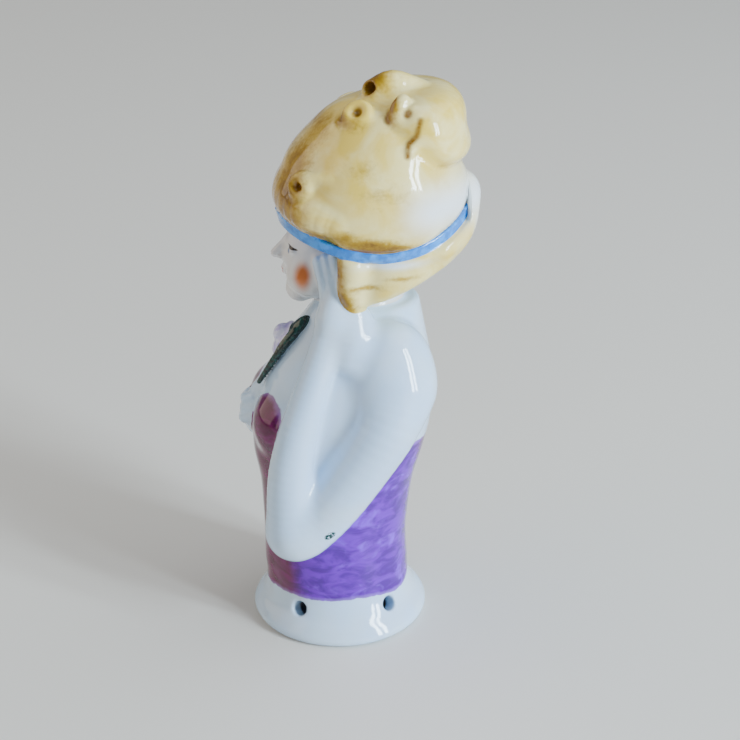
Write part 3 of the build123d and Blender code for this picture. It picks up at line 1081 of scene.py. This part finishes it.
def hair_glaze():
    """Cream over white china, with the hair's ochre paint, and ochre and brown as painted shade where the
    locks turn under, in folds and openings.
    """
    g = Glaze("blond_hair", wave=0.3)
    cloud = g.noise(6.0, 4.0, distort=0.8)
    strands = g.noise(1.4, 5.0, stretch=(1.0, 0.7, 1.2), turn=(0, 0, 20), distort=0.8)
    speck = g.noise(0.42, 2.0)
    cream = g.mix(g.step(cloud, 0.35, 0.65), CREAM, YELLOW)
    cream = g.mix(g.paint("bare"), cream, BARE)
    uneven = g.maths("ADD", g.maths("MULTIPLY", strands, 0.7), g.maths("MULTIPLY", speck, 0.35))
    # the hair's ochre paint together with painted shade in its folds, crease and openings
    hair_paint_and_shade = g.maths("ADD", g.paint("hair_paint_and_shade"), g.maths("MULTIPLY", g.maths("SUBTRACT", uneven, 0.52), 0.9))
    tan = g.mix(g.step(hair_paint_and_shade, 0.05, 0.7), cream, OCHRE_PAINT_AND_SHADE)
    # brown where the ochre paint and the painted shade are strongest
    dark = g.maths("MULTIPLY", g.step(hair_paint_and_shade, 0.5, 1.1), g.step(uneven, 0.3, 0.75, 0.5, 1.0))
    tan = g.mix(dark, tan, BROWN_PAINT_AND_SHADE)
    # painted shade in the curls' eyes and creases, and the scroll's painted tail line
    line = g.maths("MULTIPLY", g.paint("line"), g.step(strands, 0.2, 0.6, 0.7, 1.0))
    return g.colour(g.mix(line, tan, SHADE_AND_LINE_BROWN))


def ribbon_glaze():
    """Blue enamel, paler where it is brushed thin."""
    g = Glaze("blue_ribbon", depth=0.03)
    return g.colour(g.mix(g.step(g.noise(1.2, 3.0), 0.35, 0.65), RIBBON_BLUE, RIBBON_PALE))


def bloom_glaze():
    """Lavender enamel with mauve shading in the petals."""
    g = Glaze("lavender_bloom", depth=0.05)
    return g.colour(g.mix(g.step(g.noise(0.9, 2.0), 0.4, 0.65), LAVENDER, MAUVE))


def leaf_glaze():
    """Dark green enamel for the stalk and the leaf."""
    g = Glaze("dark_green", depth=0.0)
    return g.colour(g.mix(g.step(g.noise(0.6, 3.0), 0.4, 0.7), DARK_GREEN, GREEN))


def finish_pieces(made):
    """Gives every piece its glaze, its painted areas and its place in the frame."""
    hair = hair_glaze()
    arm = arm_glaze()
    leaf = leaf_glaze()
    own = {
        "body_casting": body_glaze(), "head_casting": face_glaze(), "left_arm": arm, "right_arm": arm,
        "headband": ribbon_glaze(), "rose_bloom": bloom_glaze(), "rose_stem": leaf, "rose_leaf": leaf,
    }
    for name, (obj, verts) in made.items():
        obj.data.materials.append(own.get(name, hair))
        if name == "body_casting":
            # the dress's paints include painted warm light on its front
            store_paint(obj, verts, ("dress", "front"))
        elif name not in own:
            # the hair's paints hold painted shade in its creases, folds and curl eyes besides its own ochre
            store_paint(obj, verts, ("hair_paint_and_shade", "line", "bare"))
        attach(obj, "root")
        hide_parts(name)


# ---------------------------------------------------------------- camera, floor, light
CAMERA_SPOT = (201.1, -16.2, 131.0)     # mm
CAMERA_HEADING = 84.13                  # degrees from +Y towards -X
CAMERA_PITCH = 24.81                    # degrees below level
CAMERA_LENS = 77.84                     # mm, on a sensor 36 mm wide
FLOOR_HALF = 1.5                        # metres


def point_camera():
    """The view from the figure's left side, a little in front and above."""
    cam_data = bpy.data.cameras.new("camera")
    cam = bpy.data.objects.new("camera", cam_data)
    bpy.context.scene.collection.objects.link(cam)
    heading = math.radians(CAMERA_HEADING)
    pitch = math.radians(CAMERA_PITCH)
    level = math.cos(pitch)
    forward = Vector((-math.sin(heading) * level, math.cos(heading) * level, -math.sin(pitch)))
    cam.location = Vector(CAMERA_SPOT) * MM
    cam.rotation_euler = forward.to_track_quat("-Z", "Y").to_euler()
    cam_data.lens = CAMERA_LENS
    cam_data.sensor_width = 36
    cam_data.clip_start = 0.01
    bpy.context.scene.camera = cam


def floor():
    """A plain pale floor."""
    mesh = bpy.data.meshes.new("floor")
    far = FLOOR_HALF
    corners = [(-far, -far, 0), (far, -far, 0), (far, far, 0), (-far, far, 0)]
    mesh.from_pydata(corners, [], [(0, 1, 2, 3)])
    obj = bpy.data.objects.new("floor", mesh)
    bpy.context.scene.collection.objects.link(obj)
    surface = bpy.data.materials.new("floor")
    surface.use_nodes = True
    shader = surface.node_tree.nodes["Principled BSDF"]
    shader.inputs["Base Color"].default_value = (0.74, 0.70, 0.64, 1)
    shader.inputs["Roughness"].default_value = 0.6
    obj.data.materials.append(surface)


def lamp(name, spot, power, width, height, colour=(1, 1, 1)):
    """A softbox aimed at the middle of the figure."""
    data = bpy.data.lights.new(name, "AREA")
    data.shape = "RECTANGLE"
    data.energy = power
    data.size = width
    data.size_y = height
    data.color = colour
    obj = bpy.data.objects.new(name, data)
    obj.location = spot
    obj.rotation_euler = (Vector((0, 0, 0.04)) - Vector(spot)).to_track_quat("-Z", "Y").to_euler()
    bpy.context.scene.collection.objects.link(obj)


def light():
    """Two window panes to the figure's left, a warm fill in front, a softbox over it and sky."""
    lamp("left_pane", (0.36, 0.50, 0.20), 5.2, 0.055, 0.50, (0.72, 0.87, 1.0))
    lamp("right_pane", (0.43, 0.44, 0.20), 5.2, 0.055, 0.50, (0.72, 0.87, 1.0))
    lamp("front_fill", (-0.1, -1.1, 0.55), 9.0, 1.8, 1.0, (1.0, 0.82, 0.60))
    lamp("top", (0.0, 0.5, 1.1), 10.0, 1.3, 1.3, (0.86, 0.94, 1.0))
    world = bpy.data.worlds.new("world")
    bpy.context.scene.world = world
    world.use_nodes = True
    background = world.node_tree.nodes["Background"]
    background.inputs["Color"].default_value = (0.72, 0.85, 1.0, 1)
    background.inputs["Strength"].default_value = 0.30


point_camera()
floor()
light()
finish_pieces(sculpt())
